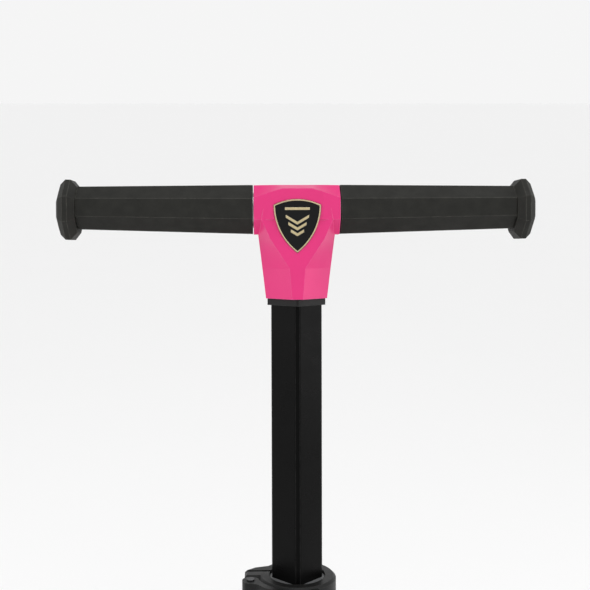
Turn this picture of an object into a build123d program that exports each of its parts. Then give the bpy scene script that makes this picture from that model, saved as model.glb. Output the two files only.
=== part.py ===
from build123d import *
import os
from math import cos, radians, sin, sqrt

# Children's three-wheel kick scooter: folding stem, sliding T-handlebar, lean-to-steer front truck.
# Millimetres, +Z up, the rider faces -Y, X is across. z = 0 is the floor.

# ---------------------------------------------------------------- driving dimensions
RAKE = 10.0                    # lean of the stem towards the rider, degrees
PIVOT_Y, PIVOT_Z = -178.0, 132.0   # fold axle
BAR_AT = 478.7                 # handlebar axis above the fold axle, along the stem
BAR_HALF = 147.6               # half of the handlebar's width
COLLAR_TOP = 250.0             # top of the height clamp, along the stem
TUBE_DIAG = 15.8               # upper tube, centre to corner
TUBE_WALL = 1.6
LOWER_DIAG = 19.4              # lower tube, centre to corner
LOWER_WALL = 1.8
FIT = 0.05                     # gap of a fixed fit
RUN = 0.05                     # radial gap of a running fit

FRONT_R, FRONT_W = 60.0, 26.0  # front wheels
FRONT_Y, FRONT_X = -213.0, 105.0
REAR_R, REAR_W = 45.0, 38.0    # rear wheel
REAR_Y = 222.0
KINGPIN_SLOPE = 35.0           # kingpin above the horizontal, rising to the front
AXLE_R = 4.0
DECK_TOP, DECK_LOW = 74.0, 48.0

# ---------------------------------------------------------------- frames
STEM = Plane(
    origin=(0, PIVOT_Y, PIVOT_Z),
    x_dir=(1, 0, 0),
    z_dir=(0, sin(radians(RAKE)), cos(radians(RAKE))),
)
BAR = STEM.offset(BAR_AT)
KING = Plane(
    origin=(0, FRONT_Y, FRONT_R),
    x_dir=(1, 0, 0),
    z_dir=(0, -cos(radians(KINGPIN_SLOPE)), sin(radians(KINGPIN_SLOPE))),
)


def across(frame, u, v=0.0, w=0.0):
    """Plane facing +X at u, v, w of a frame. Its x is the frame's y and its y is the frame's z."""
    return Plane(origin=frame.from_local_coords((u, v, w)), x_dir=frame.y_dir, z_dir=(1, 0, 0))


def lengthways(frame, u, v=0.0, w=0.0):
    """Plane facing backwards at u, v, w of a frame. Its x is -X and its y is the frame's z."""
    return Plane(origin=frame.from_local_coords((u, v, w)), x_dir=(-1, 0, 0), z_dir=frame.y_dir)


def diamond(half_diagonal, corner_radius):
    """Square on its corner, whose rounded corners reach half_diagonal from the centre."""
    sharp = half_diagonal + corner_radius * (sqrt(2) - 1)
    with BuildSketch() as profile:
        Rectangle(sharp * sqrt(2), sharp * sqrt(2), rotation=45)
        fillet(profile.vertices(), corner_radius)
    return profile.sketch


def mirrored_polygon(half):
    """Closed outline from its points with x >= 0, listed from front to back."""
    return half + [(-x, y) for x, y in reversed(half)]


def save(part, name):
    part.label = name
    export_step(part, f"parts/{name}.step")


os.makedirs("parts", exist_ok=True)

# ---------------------------------------------------------------- upper tube
CORNER_R = 3.0
GROOVE_W, GROOVE_D = 2.6, 0.8
TUBE_TOP = BAR_AT - 13.5
TUBE_FOOT = COLLAR_TOP - 65.0
UPPER_OUTSIDE = diamond(TUBE_DIAG, CORNER_R)
UPPER_HOLE = diamond(TUBE_DIAG + FIT, CORNER_R)
UPPER_BORE = diamond(TUBE_DIAG - TUBE_WALL * sqrt(2), CORNER_R - TUBE_WALL)
UPPER_PLUG = diamond(TUBE_DIAG - TUBE_WALL * sqrt(2) - FIT, CORNER_R - TUBE_WALL)
LOWER_OUTSIDE = diamond(LOWER_DIAG, CORNER_R + 0.6)
LOWER_HOLE = diamond(LOWER_DIAG + FIT, CORNER_R + 0.6)
LOWER_BORE = diamond(LOWER_DIAG - LOWER_WALL * sqrt(2), CORNER_R - 1.2)
GUIDE = diamond(LOWER_DIAG - LOWER_WALL * sqrt(2) - 0.35, CORNER_R - 1.2)

with BuildPart() as upper_tube:
    with BuildSketch(STEM.offset(TUBE_FOOT)):
        add(UPPER_OUTSIDE)
        add(UPPER_BORE, mode=Mode.SUBTRACT)
    extrude(amount=TUBE_TOP - TUBE_FOOT)
    with BuildSketch(STEM.offset(TUBE_FOOT)):
        with Locations((0, -TUBE_DIAG), (0, TUBE_DIAG)):
            Rectangle(GROOVE_W, 2 * GROOVE_D)
    extrude(amount=TUBE_TOP - TUBE_FOOT, mode=Mode.SUBTRACT)
save(upper_tube.part, "upper_tube")

with BuildPart() as tube_guide:
    with BuildSketch(STEM.offset(TUBE_FOOT - 8)):
        add(GUIDE)
    extrude(amount=8)
    chamfer(tube_guide.faces().sort_by(Axis.Z)[0].edges(), 1)
    with BuildSketch(STEM.offset(TUBE_FOOT)):
        add(UPPER_PLUG)
    extrude(amount=14)
    with BuildSketch(STEM.offset(TUBE_FOOT - 8)):
        Circle(6)
    extrude(amount=22, mode=Mode.SUBTRACT)
save(tube_guide.part, "upper_tube_guide")

# ---------------------------------------------------------------- handlebar
CROSS_R, CROSS_WALL, CROSS_HALF = 11.0, 1.5, 139.0
GRIP_IN, GRIP_OUT = 27.0, 134.6
GRIP_IN_HALF, GRIP_OUT_HALF = 15.0, 13.05
GRIP_IN_RISE, GRIP_OUT_RISE = 0.3, 1.5
OCTAGON_TURN = 22.5            # puts flats at the top and front

with BuildPart() as cross_tube:
    with BuildSketch(across(BAR, -CROSS_HALF)):
        Circle(CROSS_R)
        Circle(CROSS_R - CROSS_WALL, mode=Mode.SUBTRACT)
    extrude(amount=2 * CROSS_HALF)
save(cross_tube.part, "handlebar_cross_tube")


def octagon_loft(side, stations):
    """Loft of octagons along the bar: distance from the middle, half height and rise of each."""
    with BuildPart() as body:
        for u, half, rise in stations:
            with BuildSketch(across(BAR, side * u)):
                with Locations((0, rise)):
                    RegularPolygon(half, 8, major_radius=False, rotation=OCTAGON_TURN)
        loft(ruled=True)
    return body.part


def bored(solid, side, depth):
    """A handlebar piece with the hole that takes the cross tube, down to depth from the middle."""
    with BuildPart() as body:
        add(solid)
        with BuildSketch(across(BAR, 0)):
            Circle(CROSS_R + FIT)
        extrude(amount=side * depth, mode=Mode.SUBTRACT)
    return body.part


CAP_RISE = 0.3
CAP = ((134.8, 14.0), (138.6, 18.4), (141.6, 18.4), (144.8, 15.4), (146.6, 10.8), (BAR_HALF, 6.0))
for side, name in ((-1, "right"), (1, "left")):
    grip = octagon_loft(
        side,
        ((GRIP_IN, GRIP_IN_HALF, GRIP_IN_RISE), (GRIP_OUT, GRIP_OUT_HALF, GRIP_OUT_RISE)),
    )
    save(bored(grip, side, BAR_HALF), f"grip_{name}")
    cap = octagon_loft(side, [(u, half, CAP_RISE) for u, half in CAP])
    save(bored(cap, side, CROSS_HALF + FIT), f"bar_end_{name}")

# ---------------------------------------------------------------- T housing
SLEEVE_END = 26.4
HOUSING_FOOT = -54.8           # below the bar axis
PANEL_V = 17.6                 # front panel in front of the bar axis
CORE_R, CORE_HALF = 13.0, 20.0


def sleeve_outline(front, crease):
    """Octagon of the sleeve at one place along the bar, its front panel pushed out and up."""
    flat, half = 6.25, 15.1
    return [
        (-front, -flat), (-front, crease), (-flat - (front - half), half), (flat, half),
        (half, flat), (half, -flat), (flat, -half), (-flat, -half),
    ]


SLEEVE = (
    (-SLEEVE_END, 15.1, 7.0), (-16.0, PANEL_V, 10.4), (-9.0, PANEL_V, 12.4),
    (9.0, PANEL_V, 12.4), (16.0, PANEL_V, 10.4), (SLEEVE_END, 15.1, 7.0),
)
# Height, half-width and depth of the front facet, half-width and depth of the side facet.
SKIRT = (
    (4.0, 20.0, 16.4, 25.2, 9.0), (-6.4, 21.6, 16.8, 24.7, 8.0), (-17.9, 16.5, 17.8, 23.4, 4.5),
    (-36.0, 4.8, 18.6, 21.2, 3.0), (HOUSING_FOOT, 3.3, 19.0, 19.0, 2.6),
)
with BuildPart() as housing:
    for u, front, crease in SLEEVE:
        with BuildSketch(across(BAR, u)):
            Polygon(*sleeve_outline(front, crease), align=None)
    loft(ruled=True)
    for w, panel_u, panel_v, side_u, side_v in SKIRT:
        outline = [(panel_u, -panel_v), (side_u, -side_v), (side_u, side_v), (panel_u, panel_v)]
        with BuildSketch(BAR.offset(w)):
            Polygon(*mirrored_polygon(outline), align=None)
    loft(ruled=True)
    with BuildSketch(across(BAR, -SLEEVE_END)):
        Circle(CROSS_R + FIT)
    extrude(amount=2 * SLEEVE_END, mode=Mode.SUBTRACT)
    with BuildSketch(across(BAR, -CORE_HALF - FIT)):
        Circle(CORE_R + FIT)
    extrude(amount=2 * (CORE_HALF + FIT), mode=Mode.SUBTRACT)
    with BuildSketch(BAR.offset(HOUSING_FOOT)):
        add(UPPER_HOLE)
    extrude(amount=-HOUSING_FOOT - 12.2, mode=Mode.SUBTRACT)

SCREW_R, SCREW_HEAD_R = 1.25, 2.4
# Place across, place along the stem, and how far behind the bar axis the head sits.
SCREW_SPOTS = [
    (side * u, w, seat) for side in (-1, 1) for u, w, seat in ((18.9, -18.5, 7.0), (18.4, -31.0, 4.4))
]
SCREW_TIP_V, SCREW_HEAD_T, SCREW_WELL = -4.2, 1.6, 14.0


def housing_screws(gap):
    """The housing's four screws, or with a gap the holes that they fit."""
    with BuildPart() as screws:
        for u, w, seat in SCREW_SPOTS:
            with BuildSketch(lengthways(BAR, u, SCREW_TIP_V - gap, w)):
                Circle(SCREW_R + gap)
            extrude(amount=seat - SCREW_TIP_V + gap)
            with BuildSketch(lengthways(BAR, u, seat, w)):
                Circle(SCREW_HEAD_R + gap)
            extrude(amount=SCREW_WELL if gap else SCREW_HEAD_T)
    return screws.part


screw_holes = housing_screws(FIT)
housing_screw_set = housing_screws(0)
BADGE_RECESS, BADGE_UP = 0.5, 5.7
BADGE_HALF_W, BADGE_H = 14.2, 32.0


def shield(grow):
    """Shield outline, its top middle at the origin, made larger by grow."""
    half = BADGE_HALF_W
    with BuildSketch() as face:
        with BuildLine():
            top = ThreePointArc((-half, -3.4), (0, 0), (half, -3.4))
            right = ThreePointArc(top @ 1, (half * 0.72, -BADGE_H * 0.62), (0, -BADGE_H))
            ThreePointArc(right @ 1, (-half * 0.72, -BADGE_H * 0.62), top @ 0)
        make_face()
        if grow:
            offset(amount=grow, kind=Kind.INTERSECTION)
    return face.sketch


def badge_plane(v):
    """Plane of the badge, facing the front, its y along the stem."""
    return Plane(
        origin=BAR.from_local_coords((0, -v, BADGE_UP)), x_dir=(1, 0, 0), z_dir=-BAR.y_dir
    )


SEAT = shield(0.35)
RIM_OUT = shield(0)
RIM_IN = shield(-0.7)
PLATE = shield(-0.75)
for front, name in ((True, "t_housing_front"), (False, "t_housing_rear")):
    with BuildPart() as shell:
        add(housing.part)
        add(screw_holes, mode=Mode.SUBTRACT)
        middle = Plane(origin=BAR.origin, x_dir=(1, 0, 0), z_dir=BAR.y_dir)
        split(bisect_by=middle, keep=Keep.BOTTOM if front else Keep.TOP)
        if front:
            with BuildSketch(badge_plane(PANEL_V - BADGE_RECESS)):
                add(SEAT)
            extrude(amount=6, mode=Mode.SUBTRACT)
    save(shell.part, name)
save(housing_screw_set, "t_housing_screws")

with BuildPart() as core:
    with BuildSketch(across(BAR, -CORE_HALF)):
        Circle(CORE_R)
        Circle(CROSS_R + FIT, mode=Mode.SUBTRACT)
    extrude(amount=2 * CORE_HALF)
    with BuildSketch(BAR.offset(-42)):
        add(UPPER_PLUG)
    extrude(amount=42 - 12.3)
    with BuildSketch(BAR.offset(-42)):
        Circle(7)
    extrude(amount=24, mode=Mode.SUBTRACT)
    with BuildSketch(across(BAR, -CORE_HALF)):
        Circle(CROSS_R + FIT)
    extrude(amount=2 * CORE_HALF, mode=Mode.SUBTRACT)
save(core.part, "t_core")

with BuildPart() as badge_plate:
    with BuildSketch(badge_plane(PANEL_V - BADGE_RECESS)):
        add(PLATE)
    extrude(amount=0.9)
save(badge_plate.part, "badge_plate")

with BuildPart() as badge_rim:
    with BuildSketch(badge_plane(PANEL_V - BADGE_RECESS)):
        add(RIM_OUT)
        add(RIM_IN, mode=Mode.SUBTRACT)
    extrude(amount=1.3)
save(badge_rim.part, "badge_rim")

CHEVRON_W, CHEVRON_H, CHEVRON_T, CHEVRON_STEP = 7.0, 4.2, 1.7, 4.4
with BuildPart() as emblem:
    with BuildSketch(badge_plane(PANEL_V - BADGE_RECESS + 0.9)):
        for row in range(3):
            reach = CHEVRON_W * (1 - 0.22 * row)
            drop = CHEVRON_H * (1 - 0.22 * row)
            top = -11.0 - CHEVRON_STEP * row
            wing = [(reach, top), (0, top - drop)]
            Polygon(
                *wing, (-reach, top), (-reach, top + CHEVRON_T), (0, top - drop + CHEVRON_T),
                (reach, top + CHEVRON_T), align=None,
            )
        with Locations((0, -5.6)):
            Rectangle(15, 1.5)
    extrude(amount=0.4)
save(emblem.part, "badge_emblem")

FLANGE_DIAG, FLANGE_FOOT = 18.1, 59.0
with BuildPart() as flange:
    with BuildSketch(BAR.offset(-FLANGE_FOOT)):
        add(diamond(FLANGE_DIAG, 1.2))
        add(UPPER_HOLE, mode=Mode.SUBTRACT)
    extrude(amount=FLANGE_FOOT + HOUSING_FOOT)
save(flange.part, "neck_flange")

# ---------------------------------------------------------------- lower tube and height clamp
LOWER_FOOT, LOWER_TOP = 56.0, 237.0
RING_FOOT, RING_IN, RING_OUT = 229.0, 19.5, 24.4
LIP_IN, LIP_FOOT = 17.6, 237.4       # narrower bore of the ring above the lower tube
BUSHING_TOP = COLLAR_TOP - 1.4
EAR_U, EAR_FRONT, EAR_BACK = 33.0, -3.0, 13.0
SLIT_FRONT, SLIT_BACK = 4.4, 6.8
CLAMP_U, CLAMP_W = -29.2, 239.5    # clamp bolt, across the two ears
PIN_V, PIN_R = -8.6, 2.5           # lever pin, along the stem
BOLT_R = 2.5

with BuildPart() as lower_tube:
    with BuildSketch(STEM.offset(LOWER_FOOT)):
        add(LOWER_OUTSIDE)
        add(LOWER_BORE, mode=Mode.SUBTRACT)
    extrude(amount=LOWER_TOP - LOWER_FOOT)
save(lower_tube.part, "lower_tube")

with BuildPart() as bushing:
    with BuildSketch(STEM.offset(LOWER_TOP)):
        Circle(LIP_IN - FIT)
    extrude(amount=BUSHING_TOP - LOWER_TOP)
    chamfer(bushing.edges().sort_by(Axis.Z)[-1], 0.6)
    with BuildSketch(STEM.offset(LOWER_TOP)):
        add(diamond(TUBE_DIAG + 0.07, CORNER_R))
    extrude(amount=20, mode=Mode.SUBTRACT)
save(bushing.part, "guide_bushing")

with BuildPart() as clamp_ring:
    with BuildSketch(STEM.offset(RING_FOOT)):
        Circle(RING_OUT)
        with BuildLine():
            Polyline(
                (-20, EAR_FRONT), (-EAR_U + 1.5, EAR_FRONT), (-EAR_U, EAR_FRONT + 2),
                (-EAR_U, EAR_BACK - 5), (-EAR_U + 6, EAR_BACK), (-14, EAR_BACK + 4),
                (-14, EAR_FRONT), close=True,
            )
        make_face()
    extrude(amount=COLLAR_TOP - RING_FOOT)
    chamfer(clamp_ring.faces().sort_by(Axis.Z)[-1].edges(), 1.6)
    with BuildSketch(STEM.offset(RING_FOOT)):
        Circle(RING_IN)
    extrude(amount=LIP_FOOT - RING_FOOT, mode=Mode.SUBTRACT)
    with BuildSketch(STEM.offset(RING_FOOT)):
        Circle(LIP_IN)
        with Locations((-(EAR_U + LIP_IN) / 2 + 0.4, (SLIT_FRONT + SLIT_BACK) / 2)):
            Rectangle(EAR_U - LIP_IN + 3, SLIT_BACK - SLIT_FRONT)
    extrude(amount=30, mode=Mode.SUBTRACT)
    with BuildSketch(lengthways(STEM, CLAMP_U, -6, CLAMP_W)):
        Circle(BOLT_R + FIT)
    extrude(amount=30, mode=Mode.SUBTRACT)
    with BuildSketch(lengthways(STEM, CLAMP_U, EAR_BACK - 2.6, CLAMP_W)):
        Circle(4.4)
    extrude(amount=10, mode=Mode.SUBTRACT)
save(clamp_ring.part, "clamp_ring")

with BuildPart() as clamp_bolt:
    with BuildSketch(lengthways(STEM, CLAMP_U, PIN_V, CLAMP_W)):
        Circle(BOLT_R)
    extrude(amount=EAR_BACK + 1 - PIN_V)
    with BuildSketch(lengthways(STEM, CLAMP_U, EAR_BACK - 2.6, CLAMP_W)):
        RegularPolygon(4.0, 6)
    extrude(amount=3.6)
    with BuildSketch(lengthways(STEM, CLAMP_U, PIN_V - 3.6, CLAMP_W)):
        Circle(3.6)
    extrude(amount=7.2)
    with BuildSketch(STEM.offset(RING_FOOT - 5)):
        with Locations((CLAMP_U, PIN_V)):
            Circle(PIN_R + FIT)
    extrude(amount=30, mode=Mode.SUBTRACT)
save(clamp_bolt.part, "clamp_bolt")

# The lever hugs the front of the ring when shut.
LEVER_GAP, LEVER_THICK, LEVER_TIP = 0.9, 5.0, 298.0
LEVER_ROOT_R, FORK_HALF = 5.2, 4.0
with BuildPart() as clamp_lever:
    with BuildSketch(STEM.offset(RING_FOOT + 1)):
        with Locations((CLAMP_U, PIN_V)):
            Circle(LEVER_ROOT_R)
        with BuildLine():
            inner = CenterArc((0, 0), RING_OUT + LEVER_GAP, 200, LEVER_TIP - 200)
            tip = Line(inner @ 1, (inner @ 1) * 1.16)
            outer = CenterArc((0, 0), (tip @ 1).length, LEVER_TIP, 214 - LEVER_TIP)
            Spline(
                outer @ 1, (CLAMP_U - 4.2, PIN_V - 3.0),
                tangents=(outer % 1, (-0.25, 1)),
            )
            Line((CLAMP_U - 4.2, PIN_V - 3.0), inner @ 0)
        make_face()
    extrude(amount=COLLAR_TOP - RING_FOOT - 1.4)
    with BuildSketch(STEM.offset(RING_FOOT)):
        with Locations((CLAMP_U, PIN_V)):
            Circle(PIN_R + RUN)
    extrude(amount=30, mode=Mode.SUBTRACT)
    with BuildSketch(STEM.offset(CLAMP_W - FORK_HALF)):
        with Locations((CLAMP_U, PIN_V)):
            Circle(LEVER_ROOT_R + 0.6)
    extrude(amount=2 * FORK_HALF, mode=Mode.SUBTRACT)
save(clamp_lever.part, "clamp_lever")

SLEEVE_FOOT = 196.0
with BuildPart() as collar_sleeve:
    with BuildSketch(STEM.offset(SLEEVE_FOOT)):
        add(diamond(LOWER_DIAG + 3.4, CORNER_R + 2))
    with BuildSketch(STEM.offset(RING_FOOT - 9)):
        add(diamond(LOWER_DIAG + 5.0, 14.0))
    loft(ruled=True)
    extrude(collar_sleeve.faces().sort_by(Axis.Z)[-1], amount=8.6)
    with BuildSketch(STEM.offset(SLEEVE_FOOT)):
        add(LOWER_HOLE)
    extrude(amount=50, mode=Mode.SUBTRACT)
save(collar_sleeve.part, "collar_sleeve")

# ---------------------------------------------------------------- folding joint, stem side
TONGUE_HALF, TONGUE_R = 17.0, 26.0
SKEWER_AT, SKEWER_R = 28.0, 3.5
SOCKET_FOOT, SOCKET_TOP, SOCKET_DIAG = 43.0, 104.0, 24.5
BUSH_R = 6.0

with BuildPart() as stem_foot:
    with BuildSketch(across(STEM, -TONGUE_HALF)):
        Circle(TONGUE_R)
        with Locations((0, SOCKET_FOOT / 2)):
            Rectangle(2 * TONGUE_HALF + 4, SOCKET_FOOT)
    extrude(amount=2 * TONGUE_HALF)
    with BuildSketch(STEM.offset(SOCKET_FOOT)):
        add(diamond(SOCKET_DIAG + 2.0, 5.0))
    with BuildSketch(STEM.offset(SOCKET_TOP - 10)):
        add(diamond(SOCKET_DIAG, 5.0))
    with BuildSketch(STEM.offset(SOCKET_TOP)):
        add(diamond(SOCKET_DIAG - 2.0, 5.0))
    loft(ruled=True)
    with BuildSketch(STEM.offset(LOWER_FOOT - FIT)):
        add(LOWER_HOLE)
    extrude(amount=60, mode=Mode.SUBTRACT)
    with BuildSketch(across(STEM, -TONGUE_HALF)):
        Circle(BUSH_R + FIT)
        with Locations((0, SKEWER_AT)):
            Circle(SKEWER_R + FIT)
    extrude(amount=2 * TONGUE_HALF, mode=Mode.SUBTRACT)
save(stem_foot.part, "stem_foot")

with BuildPart() as fold_bushes:
    for side in (-1, 1):
        with BuildSketch(across(STEM, side * TONGUE_HALF)):
            Circle(BUSH_R)
            Circle(AXLE_R + RUN, mode=Mode.SUBTRACT)
        extrude(amount=-side * 14)
save(fold_bushes.part, "fold_bushes")

# ---------------------------------------------------------------- folding joint, deck side
CHEEK_IN, CHEEK_OUT = 17.4, 23.4
CHEEK_R = SKEWER_AT + 11.0
FOLD_ANGLE = 80.0
PLATE_LOW, PLATE_TOP = 97.0, 103.0
UPRIGHT = Plane(origin=(0, PIVOT_Y, PIVOT_Z), x_dir=(0, 1, 0), z_dir=(1, 0, 0))
SLOT_R = SKEWER_R + 0.5
SLOT_FROM, SLOT_SWEEP = 90 - RAKE + 1, -(FOLD_ANGLE + 2)
SLOT_PATH = CenterArc((0, 0), SKEWER_AT, SLOT_FROM, SLOT_SWEEP)

with BuildPart() as fold_bracket:
    for u in (-CHEEK_OUT, CHEEK_IN):
        with BuildSketch(UPRIGHT.offset(u)):
            Circle(CHEEK_R)
            with BuildLine():
                Polyline(
                    (-44, PLATE_TOP - PIVOT_Z - 1), (-CHEEK_R * 0.95, -8), (-20, 30),
                    (20, 30), (CHEEK_R * 0.98, -8), (48, PLATE_TOP - PIVOT_Z - 1), close=True,
                )
            make_face()
            Circle(AXLE_R + FIT, mode=Mode.SUBTRACT)
            with Locations((0, -60)):
                Rectangle(200, 2 * (60 + PLATE_LOW - PIVOT_Z), mode=Mode.SUBTRACT)
        extrude(amount=CHEEK_OUT - CHEEK_IN)
        with BuildSketch(UPRIGHT.offset(u)):
            SlotArc(SLOT_PATH, 2 * SLOT_R)
        extrude(amount=CHEEK_OUT - CHEEK_IN, mode=Mode.SUBTRACT)
    with BuildSketch(Plane.XY.offset(PLATE_LOW)):
        with Locations((0, PIVOT_Y + 2)):
            Rectangle(66, 92)
    extrude(amount=PLATE_TOP - PLATE_LOW)

BRACKET_SCREWS = [(x, y) for x in (-28.4, 28.4) for y in (PIVOT_Y - 38, PIVOT_Y + 42)]
BRACKET_SCREW_R = 2.5


def bracket_screw_set(gap):
    """The four bracket screws, or with a gap the holes that they fit."""
    with BuildPart() as screws:
        with BuildSketch(Plane.XY.offset(PLATE_LOW - 9)):
            with Locations(BRACKET_SCREWS):
                Circle(BRACKET_SCREW_R + gap)
        extrude(amount=PLATE_TOP - PLATE_LOW + 9)
        if gap == 0:
            with BuildSketch(Plane.XY.offset(PLATE_TOP)):
                with Locations(BRACKET_SCREWS):
                    Circle(4.2)
                    RegularPolygon(2.4, 6, mode=Mode.SUBTRACT)
            extrude(amount=2.6)
    return screws.part


bracket_holes = bracket_screw_set(FIT)
with BuildPart() as drilled_bracket:
    add(fold_bracket.part)
    add(bracket_holes, mode=Mode.SUBTRACT)
save(drilled_bracket.part, "fold_bracket")

AXLE_HEAD_R, AXLE_HEAD_T = 7.0, 4.5


def cross_bolt(plane, reach, radius, head_radius, head_thick):
    """Bolt along X: shaft out to reach each side, a round head at -X and a hexagon nut at +X."""
    with BuildPart() as bolt:
        with BuildSketch(plane.offset(-reach)):
            Circle(radius)
        extrude(amount=2 * reach + head_thick + 1)
        with BuildSketch(plane.offset(-reach - head_thick)):
            Circle(head_radius)
        extrude(amount=head_thick)
        with BuildSketch(plane.offset(reach)):
            RegularPolygon(head_radius, 6)
        extrude(amount=head_thick)
    return bolt.part


save(cross_bolt(UPRIGHT, CHEEK_OUT + 0.05, AXLE_R, AXLE_HEAD_R, AXLE_HEAD_T), "fold_axle")

# Skewer through the slots, its barrel end at -X carries the fold lever.
BARREL_U, BARREL_R = -33.0, 4.2
with BuildPart() as skewer:
    with BuildSketch(across(STEM, BARREL_U, 0, SKEWER_AT)):
        Circle(SKEWER_R)
    extrude(amount=34 - BARREL_U)
    with BuildSketch(across(STEM, CHEEK_OUT + 0.35, 0, SKEWER_AT)):
        Circle(9)
    extrude(amount=1.6)
    with BuildSketch(across(STEM, CHEEK_OUT + 1.95, 0, SKEWER_AT)):
        RegularPolygon(7.4, 6)
    extrude(amount=6)
    with BuildSketch(lengthways(STEM, BARREL_U, -5, SKEWER_AT)):
        Circle(BARREL_R)
    extrude(amount=10)
    with BuildSketch(lengthways(STEM, BARREL_U, -10, SKEWER_AT)):
        Circle(PIN_R + FIT)
    extrude(amount=20, mode=Mode.SUBTRACT)
save(skewer.part, "fold_skewer")

with BuildPart() as cam_washer:
    with BuildSketch(across(STEM, -CHEEK_OUT - 0.35, 0, SKEWER_AT)):
        Circle(10)
        Circle(SKEWER_R + FIT, mode=Mode.SUBTRACT)
    extrude(amount=-3.0)
save(cam_washer.part, "cam_washer")

# The two lever pins are alike, so they share a file.
with BuildPart() as lever_pins:
    with BuildSketch(lengthways(STEM, BARREL_U, -10.5, SKEWER_AT)):
        Circle(PIN_R)
    extrude(amount=21)
    with BuildSketch(STEM.offset(RING_FOOT + 0.4)):
        with Locations((CLAMP_U, PIN_V)):
            Circle(PIN_R)
    extrude(amount=21)
save(lever_pins.part, "lever_pins")

CAM_R, ARM_TOP = 6.0, 92.0
with BuildPart() as fold_lever:
    with BuildSketch(lengthways(STEM, 0, -9.5)):
        with Locations((-BARREL_U, SKEWER_AT)):
            Circle(CAM_R)
        with BuildLine():
            Polyline(
                (27.8, SKEWER_AT + 4), (28.2, 74), (32.5, ARM_TOP), (36.5, ARM_TOP + 1),
                (38.6, SKEWER_AT + 8), (39.0, SKEWER_AT), (33, SKEWER_AT), close=True,
            )
        make_face()
    extrude(amount=19)
    with BuildSketch(lengthways(STEM, 0, -5.4)):
        with Locations((-BARREL_U, SKEWER_AT - 1.5)):
            Rectangle(20, 17)
    extrude(amount=10.8, mode=Mode.SUBTRACT)
    with BuildSketch(lengthways(STEM, BARREL_U, -20, SKEWER_AT)):
        Circle(PIN_R + RUN)
    extrude(amount=40, mode=Mode.SUBTRACT)
save(fold_lever.part, "fold_lever")

# ---------------------------------------------------------------- steering head and truck
HUB_R, HUB_HALF, BUSH_FLANGE, LUG_T, HEAD_HALF = 14.0, 17.0, 1.2, 8.0, 15.0
LUG_IN = HUB_HALF + BUSH_FLANGE + 0.2
LUG_OUT = LUG_IN + LUG_T
KINGPIN_R = 5.0
BRIDGE_LOW, BRIDGE_TOP, LUG_LOW = 17.5, 25.0, -13.0
WING_X, WING_S, WING_TOP = 42.0, 10.0, 31.0
BEAM_S, BEAM_N, BEAM_END = 11.0, 10.0, 91.7
BUFFER_X, BUFFER_R = 30.0, 8.0
HEAD_TOP, HEAD_BACK = PLATE_LOW, -136.0
# In SIDE_KING x runs up the kingpin to the front, and y square to it, up and back.
SIDE_KING = Plane(origin=KING.origin, x_dir=KING.z_dir, z_dir=(-1, 0, 0))
NECK_SCREWS = [(x, z) for x in (-23.0, 23.0) for z in (56.0, 80.0)]


def neck_screw_set(gap):
    """Four screws through the head's back plate into the deck, or the holes that they fit."""
    face = Plane(origin=(0, HEAD_BACK - 14, 0), x_dir=(-1, 0, 0), z_dir=(0, 1, 0))
    with BuildPart() as screws:
        with BuildSketch(face):
            with Locations([(-x, z) for x, z in NECK_SCREWS]):
                Circle(2.5 + gap)
        extrude(amount=30)
        if gap == 0:
            with BuildSketch(face):
                with Locations([(-x, z) for x, z in NECK_SCREWS]):
                    Circle(4.2)
                    RegularPolygon(2.4, 6, mode=Mode.SUBTRACT)
            extrude(amount=-4)
    return screws.part


neck_holes = neck_screw_set(FIT)
save(Compound(children=[*bracket_screw_set(0).solids(), *neck_screw_set(0).solids()]), "head_screws")

with BuildPart() as head:
    with BuildSketch(SIDE_KING.offset(-HEAD_HALF)):
        with BuildLine():
            Polyline(
                (-LUG_OUT, LUG_LOW), (-LUG_OUT, BRIDGE_TOP), (LUG_OUT, BRIDGE_TOP),
                (LUG_OUT, LUG_LOW), (LUG_IN, LUG_LOW), (LUG_IN, BRIDGE_LOW),
                (-LUG_IN, BRIDGE_LOW), (-LUG_IN, LUG_LOW), close=True,
            )
        make_face()
    extrude(amount=2 * HEAD_HALF)
    with BuildSketch(Plane.YZ.offset(-HEAD_HALF)):
        with BuildLine():
            Polyline(
                (-196, 38.5), (-158, 48), (HEAD_BACK, 50), (HEAD_BACK, HEAD_TOP),
                (-222, HEAD_TOP), (-218, 93.8), (-179, 66.5), close=True,
            )
        make_face()
    extrude(amount=2 * HEAD_HALF)
    with BuildSketch(SIDE_KING.offset(-WING_X)):
        with Locations((0, (BRIDGE_TOP + WING_TOP) / 2)):
            Rectangle(2 * WING_S, WING_TOP - BRIDGE_TOP)
    extrude(amount=2 * WING_X)
    with BuildSketch(Plane.XY.offset(HEAD_TOP - 9)):
        with Locations((0, (HEAD_BACK - 222) / 2)):
            Rectangle(66, 222 + HEAD_BACK)
    extrude(amount=9)
    with BuildSketch(Plane.XY.offset(50)):
        with Locations((0, HEAD_BACK - 7)):
            Rectangle(62, 14)
    extrude(amount=HEAD_TOP - 50)
    with BuildSketch(KING.offset(-LUG_OUT - 40)):
        Circle(KINGPIN_R + FIT)
    extrude(amount=2 * LUG_OUT + 50, mode=Mode.SUBTRACT)
    with BuildSketch(KING.offset(-LUG_OUT)):
        Circle(10)
    extrude(amount=-40, mode=Mode.SUBTRACT)
    add(bracket_holes, mode=Mode.SUBTRACT)
    add(neck_holes, mode=Mode.SUBTRACT)
save(head.part, "steering_head")

with BuildPart() as kingpin:
    with BuildSketch(KING.offset(-LUG_OUT - 9)):
        Circle(KINGPIN_R)
    extrude(amount=2 * LUG_OUT + 9)
    with BuildSketch(KING.offset(LUG_OUT)):
        RegularPolygon(8.6, 6)
    extrude(amount=6)
    with BuildSketch(KING.offset(-LUG_OUT)):
        RegularPolygon(8.6, 6)
    extrude(amount=-7)
save(kingpin.part, "kingpin")

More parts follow.
